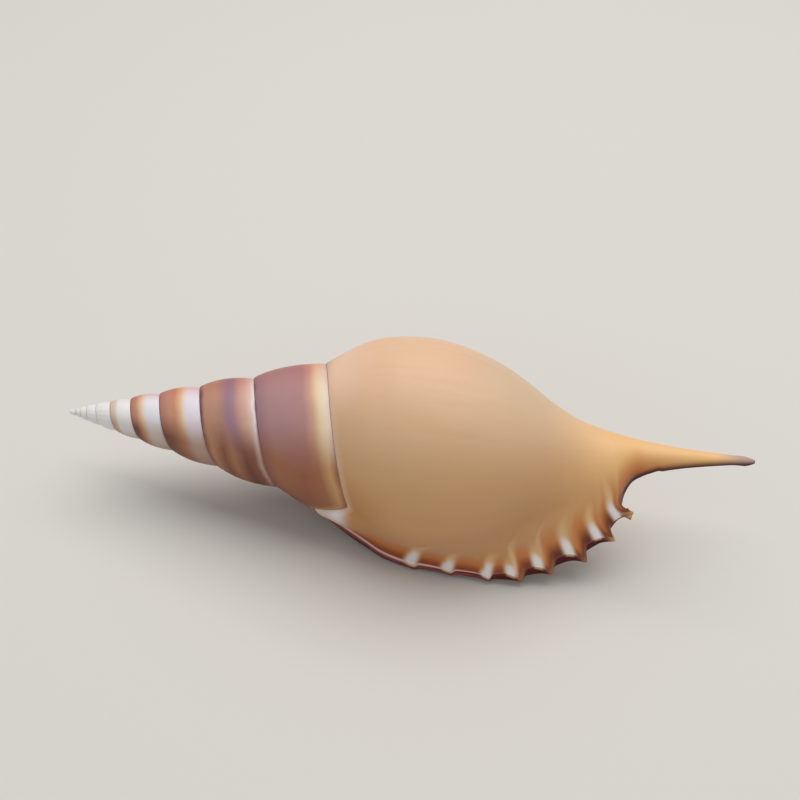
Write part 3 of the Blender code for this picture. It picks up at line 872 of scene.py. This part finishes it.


# The body's colours by turn, from the back over the top to the lip: pale on top and darker and browner down
# the lower side to the lip, partly the shell's own colour and partly painted shade. Then the layers over
# them, each a colour and its mask. Lengths are in millimetres, and x is from the middle of the shell.
bodyTonesAndShade = [
    (150.0, tone(234, 196, 160)), (200.0, tone(230, 190, 154)), (235.0, tone(224, 184, 148)),
    (270.0, tone(218, 176, 136)), (300.0, tone(210, 164, 114)), (330.0, tone(194, 144, 88)),
    (360.0, tone(188, 136, 78)),
]
bodyLook = {
    "startTurns": (15.0, 120.0),
    "startLean": (0.8, 150.0),
    "patchScale": 22.0,
    "streakScale": (0.15, 0.03),
    "streakDetail": (3.0, 0.6),
    "canal": tone(242, 190, 122),
    "canalX": (28.0, 50.0),
    "canalShare": 0.75,
    "canalLow": (0.35, ("turn", 280.0, 330.0), ("x", 56.0, 46.0)),
}
bodyLayers = {
    "peachPatches": (tone(234, 178, 142), (0.30, ("patch", 0.45, 0.65))),
    "growthLines": (tone(190, 142, 96), (0.12, ("streak", 0.48, 0.72))),
    # painted reflection: a cool grey over the top of the body's middle
    "greyReflection": (
        tone(210, 186, 154), (0.6, ("x", 6.0, 22.0), ("x", 44.0, 26.0), ("turn", 290.0, 220.0)),
    ),
    "pinkBack": (tone(246, 206, 180), (0.6, ("fromSuture", 12.0, 2.0), ("turn", 270.0, 230.0))),
    "orangeUnder": (tone(196, 132, 80), (0.6, ("fromSuture", 12.0, 2.0), ("turn", 285.0, 325.0))),
}
endLayers = {
    "dullTip": (tone(172, 144, 138), (0.90, ("x", 66.0, 73.0))),
    "paleEdge": (tone(222, 190, 164), (0.55, ("fromSuture", 2.0, 0.4))),
}


def bodyColour(paint, on):
    # a ramp by turn, darker and browner down the lower side partly as painted shade, under its layers, an
    # orange canal that is fainter on its low side, and the end layers
    look, first, last = bodyLook, bodyTonesAndShade[0][0], bodyTonesAndShade[-1][0]
    turnScale, xScale = look["streakScale"]
    lines = paint.vector(on["turn"] * turnScale, on["x"] * xScale)
    on["patch"] = paint.noise(on["spot"], look["patchScale"])
    on["streak"] = paint.noise(lines, 1.0, *look["streakDetail"])
    stops = [((at - first) / (last - first), value) for at, value in bodyTonesAndShade]
    body = paint.ramp((on["turn"] - first) / (last - first), stops)
    body = paint.layers(on, body, bodyLayers)
    canal = paint.step(on["x"], *look["canalX"]) * (look["canalShare"] - paint.mask(on, look["canalLow"]))
    return paint.layers(on, paint.blend(canal, body, look["canal"]), endLayers)


# The lip's colours and how far they reach, in millimetres: up the wall from the edge, along the edge and
# down the rim. The orange band's reach is a share of its longest, by a hundredth of the place on the edge.
lipLook = {
    "longestReach": 12.0,
    "reach": [
        (0.0, 0.05), (0.05, 0.40), (0.10, 0.60), (0.30, 0.56), (0.45, 0.60),
        (0.60, 0.80), (0.74, 1.0), (0.80, 0.90), (0.87, 0.50), (1.0, 0.40),
    ],
    "orange": tone(206, 118, 56),
    "orangeBand": (0.92, ("near", 1.0, 0.28), ("x", 66.0, 50.0)),
    "brown": tone(146, 66, 34),
    "dark": tone(92, 26, 22),
    "darkPlaces": (42.0, 55.0),
    "brownBand": (0.92, ("near", 0.48, 0.04), ("x", 66.0, 50.0)),
    "maroon": tone(74, 16, 16),
    # The canal's lower side: a maroon line, partly its own dark edge and partly painted shade.
    "undersideEdgeAndShade": (1.0, ("place", 75.0, 79.0), ("seamAway", 3.0, 1.2)),
    "undersideWider": (0.8, ("x", 50.0, 70.0)),
    "undersideEnd": (0.95, ("x", 80.0, 73.0)),
    "ribWhite": tone(240, 232, 232),
    "ribCream": tone(232, 192, 138),
    "ribWidths": [1.50, 1.40, 1.30, 1.20, 1.20, 1.20, 1.15, 1.15],
    "ribReaches": [6.6, 5.2, 4.8, 6.2, 7.0, 7.5, 6.4, 8.0],
    "ribFade": 0.25,
    "ribs": (1.0, ("white", 0.10, 0.95)),
    "creamSharpness": 0.60,
    "creamFade": (2.0, 0.5),
    "creamRibs": (0.85, ("cream", 0.15, 1.0)),
    "tip": tone(222, 170, 116),
    "tipShares": [0.0, 0.0, 0.0, 0.25, 0.35, 0.30, 0.75, 0.90],
    "tipSharpness": 2.0,
    "tipReach": (1.6, 0.6),
    "lobePink": tone(224, 196, 178),
    "lobe": (0.9, ("x", -7.5, -12.5), ("turn", 322.0, 336.0)),
    "lobeSpot": (-11.5, 2.2),
}
rimLook = {
    "red": tone(106, 28, 26),
    "rose": tone(146, 74, 68),
    # The bevel line's pale colour carries a painted highlight along the ridge; it is paler and wider
    # towards the back.
    "pale": tone(242, 198, 182),
    "backPlaces": (45.0, 36.0),
    "paleHighlightShares": (0.1, 0.8),
    "paleHighlightWider": (1.1, ("place", 38.0, 20.0)),
    "start": (1.0, ("rim", 0.001, 0.05)),
    "redBand": (1.0, ("bevel", 0.20, 0.45)),
    "roseBand": (1.0, ("rim", 0.55, 0.95)),
    "maroonBand": (1.0, ("rim", 1.10, 1.60)),
    "ribs": (0.7, ("white", 0.35, 0.85), ("rim", 0.9, 0.3)),
    "tips": (1.0, ("rim", 3.2, 1.2)),
}


def layRibs(paint, on):
    # readings of the white ribs, their cream surrounds and the pale points: sums over the ribs of a bell
    # curve along the lip times a soft step up the wall
    look, away = lipLook, on["away"]
    on["white"], on["cream"], on["tips"] = 0.0, 0.0, 0.0
    for number, length in enumerate(look["ribReaches"]):
        slanted = on["place"] + away * lip["ribSlants"][number] - lip["whitePlaces"][number] * millimetres
        gap = slanted / look["ribWidths"][number]
        on["white"] += paint.bell(gap) * paint.step(away, length, length * look["ribFade"])
        surround = paint.step(away, *(length * share for share in look["creamFade"]))
        on["cream"] += paint.bell(gap, look["creamSharpness"]) * surround
        share = look["tipShares"][number]
        if share:
            beside = paint.bell(on["place"] - lip["ribPlaces"][number] * millimetres, look["tipSharpness"])
            on["tips"] += beside * paint.step(away, *look["tipReach"]) * share


def rimColour(paint, on):
    # down the rim: pale at the bevel line, partly its own colour and partly a painted highlight on the
    # ridge, then red, rose and maroon, with the ribs and points run over it
    look = rimLook
    back = paint.step(on["place"], *look["backPlaces"])
    least, more = look["paleHighlightShares"]
    edge = paint.blend(back * more + least, look["red"], look["pale"])
    on["bevel"] = on["rim"] / (1.0 + paint.mask(on, look["paleHighlightWider"]))
    edge = paint.blend(paint.mask(on, look["redBand"]), edge, look["red"])
    rose = paint.blend(back, lipLook["maroon"], look["rose"])
    edge = paint.blend(paint.mask(on, look["roseBand"]), edge, rose)
    edge = paint.blend(paint.mask(on, look["maroonBand"]), edge, lipLook["maroon"])
    edge = paint.blend(paint.mask(on, look["ribs"]), edge, lipLook["ribCream"])
    return paint.blend(on["tips"] * paint.mask(on, look["tips"]), edge, lipLook["tip"])


def lipColour(paint, on, colour):
    # an orange band that reaches further back towards the canal and is brown at the bevel line, the maroon
    # line along the canal's lower side, partly its own dark edge and partly painted shade, the ribs, the
    # pink lobe with its white spot, and the rim past the bevel line
    look = lipLook
    reach = paint.node("ShaderNodeFloatCurve", {"curve": look["reach"]}, {"Value": on["place"] / 100.0})
    on["near"] = on["away"] / (reach * look["longestReach"])
    colour = paint.blend(paint.mask(on, look["orangeBand"]), colour, look["orange"])
    deepest = paint.blend(paint.step(on["place"], *look["darkPlaces"]), look["brown"], look["dark"])
    colour = paint.blend(paint.mask(on, look["brownBand"]), colour, deepest)
    colour = paint.blend(on["undersideEdgeAndShade"] * paint.mask(on, look["undersideEnd"]), colour, look["maroon"])
    layRibs(paint, on)
    colour = paint.blend(paint.mask(on, look["creamRibs"]), colour, look["ribCream"])
    colour = paint.blend(paint.mask(on, look["ribs"]), colour, look["ribWhite"])
    colour = paint.blend(on["tips"], colour, look["tip"])
    lobe, (spotX, spotWidth) = paint.mask(on, look["lobe"]), look["lobeSpot"]
    colour = paint.blend(lobe, colour, look["lobePink"])
    colour = paint.blend(paint.bell((on["x"] - spotX) / spotWidth) * lobe, colour, look["ribWhite"])
    return paint.blend(paint.mask(on, rimLook["start"]), colour, rimColour(paint, on))


# The mouth's glaze by its depth in degrees, the dark line of the suture, and the gloss.
finish = {
    "mouthWhite": tone(238, 226, 212),
    "mouthTan": tone(206, 150, 108),
    "mouthStart": (1.0, ("deep", 0.3, 3.0)),
    "mouthDeep": (1.0, ("deep", 3.0, 40.0)),
    "crack": tone(86, 70, 58),
    "crackReach": (0.16, 0.05),
    "crackShare": 0.85,
    "crackLow": (0.60, ("turn", 290.0, 325.0)),
    "softScale": 28.0,
    "roughness": 0.42,
    "softRoughness": 0.06,
    "dullRim": (1.0, ("rim", 0.0, 0.3)),
    "dullRoughness": 0.25,
    "coat": 0.10,
    "coatRoughness": 0.25,
    "specular": 0.28,
    "bumpScale": (0.5, 0.05),
    "bumpDetail": 3.0,
    "bumpStrength": 0.06,
    "bumpDepth": 0.00015,
}


def shellMaterial():
    # the spire, the body, the lip, the glazed mouth and the dark line of the suture, one over the other
    paint = Maker("satinShell")
    on = {name: paint.reading(name) for name in plainReadings}
    for name in ("fromSuture", "away", "place", "rim"):
        on[name] = on[name] * millimetres
    on["spot"] = paint.node("ShaderNodeTexCoord", out="Object")
    on["x"] = paint.node("ShaderNodeSeparateXYZ", {}, {0: on["spot"]}) * millimetres
    on["phase"] = (on["turn"] / 360.0).math("FRACT")
    on["seamAway"] = on["away"] / (1.0 + paint.mask(on, lipLook["undersideWider"]))
    on["undersideEdgeAndShade"] = paint.mask(on, lipLook["undersideEdgeAndShade"])

    lean, turns = bodyLook["startLean"]
    bodyShare = paint.step(on["turn"] + (on["between"] - lean) * turns, *bodyLook["startTurns"])
    colour = paint.blend(bodyShare, spireColour(paint, on), bodyColour(paint, on))
    colour = lipColour(paint, on, colour)
    mouth = paint.blend(paint.mask(on, finish["mouthDeep"]), finish["mouthWhite"], finish["mouthTan"])
    colour = paint.blend(paint.mask(on, finish["mouthStart"]), colour, mouth)
    crackShare = finish["crackShare"] - paint.mask(on, finish["crackLow"])
    crack = paint.step(on["fromSuture"], *finish["crackReach"]) * crackShare
    colour = paint.blend(crack, colour, finish["crack"])

    soft = paint.noise(on["spot"], finish["softScale"])
    dull = paint.mask(on, finish["dullRim"]).math("MAXIMUM", on["undersideEdgeAndShade"])
    turnScale, xScale = finish["bumpScale"]
    lines = paint.noise(paint.vector(on["turn"] * turnScale, on["x"] * xScale), 1.0, finish["bumpDetail"])
    bump = {"Strength": finish["bumpStrength"], "Distance": finish["bumpDepth"], "Height": lines}
    roughness = finish["roughness"] + soft * finish["softRoughness"] + dull * finish["dullRoughness"]
    surface = paint.surface.inputs
    paint.feed(surface["Base Color"], colour)
    paint.feed(surface["Roughness"], roughness)
    paint.feed(surface["Coat Weight"], finish["coat"] - dull * finish["coat"])
    paint.feed(surface["Normal"], paint.node("ShaderNodeBump", {}, bump))
    surface["Specular IOR Level"].default_value = finish["specular"]
    surface["Coat Roughness"].default_value = finish["coatRoughness"]
    return paint.material


def restPlace(points):
    # the shell's resting turn about X and Y, then its box centred over the origin and set down on the floor
    turned = Matrix.Rotation(np.radians(growth["restRoll"]), 4, "X")
    turned = turned @ Matrix.Rotation(np.radians(growth["restPitch"]), 4, "Y")
    spun = points @ np.array(turned.to_3x3()).T
    low, high = spun.min(axis=0), spun.max(axis=0)
    shift = Matrix.Translation((-(low[0] + high[0]) / 2.0, -(low[1] + high[1]) / 2.0, -low[2]))
    return shift @ turned


def makeShell():
    # the points turned and shifted to the resting place, so that the piece itself stays at the origin
    points, readings, corners, faces = meshArrays()
    place = restPlace(points)
    points = points @ np.array(place.to_3x3()).T + np.array(place.translation)
    mesh = makeMesh("conchShell", points, readings, corners, faces)
    mesh.materials.append(shellMaterial())
    piece = bpy.data.objects.new("conchShell", mesh)
    bpy.context.scene.collection.objects.link(piece)
    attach(piece, "root")
    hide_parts("shell")
    print("shell made:", len(mesh.polygons), "triangles")
    return place


# The camera. Its place is in the frame that the shell is wound in, and takes the shell's resting turn.
view = {
    "place": (0.1071, -0.2321, 0.1940),
    "elevation": 38.0,
    "azimuth": 8.0,
    "roll": 0.28,
    "lens": 63.0,
    "clipStart": 0.01,
}


def makeCamera(place):
    # right, up and back of the camera from its two angles, turned by its roll
    high, side, roll = (np.radians(view[key]) for key in ("elevation", "azimuth", "roll"))
    back = Vector((np.sin(side) * np.cos(high), -np.cos(side) * np.cos(high), np.sin(high)))
    right = Vector((np.cos(side), np.sin(side), 0.0))
    up = back.cross(right)
    across = right * np.cos(roll) - up * np.sin(roll)
    upright = right * np.sin(roll) + up * np.cos(roll)
    matrix = Matrix((across, upright, back)).transposed().to_4x4()
    matrix.translation = view["place"]
    camera = bpy.data.objects.new("camera", bpy.data.cameras.new("camera"))
    camera.data.lens = view["lens"]
    camera.data.clip_start = view["clipStart"]
    camera.matrix_world = place @ matrix
    bpy.context.scene.collection.objects.link(camera)
    bpy.context.scene.camera = camera
    print("camera set")


# The floor, the sky and the lamps, each with its name, place, size, power and colour.
studio = {
    "floorSize": 3.0,
    "floorTone": tone(214, 210, 204),
    "floorRoughness": 0.8,
    "skyTone": (0.92, 0.96, 1.0),
    "skyStrength": 0.40,
    "lights": [
        ("topLight", (0.05, 0.22, 0.80), 0.9, 6.0, (1.0, 0.98, 0.95)),
        ("frontLight", (-0.3, -0.7, 0.6), 0.8, 0.9, (0.95, 0.97, 1.0)),
    ],
}


def makeStudio():
    # a wide pale floor, an even sky and large soft lamps aimed at the shell
    bpy.ops.mesh.primitive_plane_add(size=studio["floorSize"], location=(0.0, 0.0, 0.0))
    floor = bpy.context.object
    floor.name = "paleFloor"
    paint = Maker("paleFloor")
    paint.surface.inputs["Base Color"].default_value = (*studio["floorTone"], 1.0)
    paint.surface.inputs["Roughness"].default_value = studio["floorRoughness"]
    floor.data.materials.append(paint.material)
    floor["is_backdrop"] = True
    world = bpy.data.worlds.new("studio")
    world.use_nodes = True
    world.node_tree.nodes["Background"].inputs["Color"].default_value = (*studio["skyTone"], 1.0)
    world.node_tree.nodes["Background"].inputs["Strength"].default_value = studio["skyStrength"]
    bpy.context.scene.world = world
    for name, at, size, power, colour in studio["lights"]:
        lamp = bpy.data.lights.new(name, "AREA")
        lamp.size, lamp.energy, lamp.color = size, power, colour
        holder = bpy.data.objects.new(name, lamp)
        holder.location = at
        holder.rotation_euler = (-Vector(at)).to_track_quat("-Z", "Y").to_euler()
        bpy.context.scene.collection.objects.link(holder)
    bpy.context.scene.view_settings.view_transform = "Standard"
    print("studio set")


restMatrix = makeShell()
makeCamera(restMatrix)
makeStudio()

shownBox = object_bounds()
for name, box in (("cad", cadBox), ("visual", shownBox)):
    print(name, "box", [[round(c, 5) for c in v] for v in box])
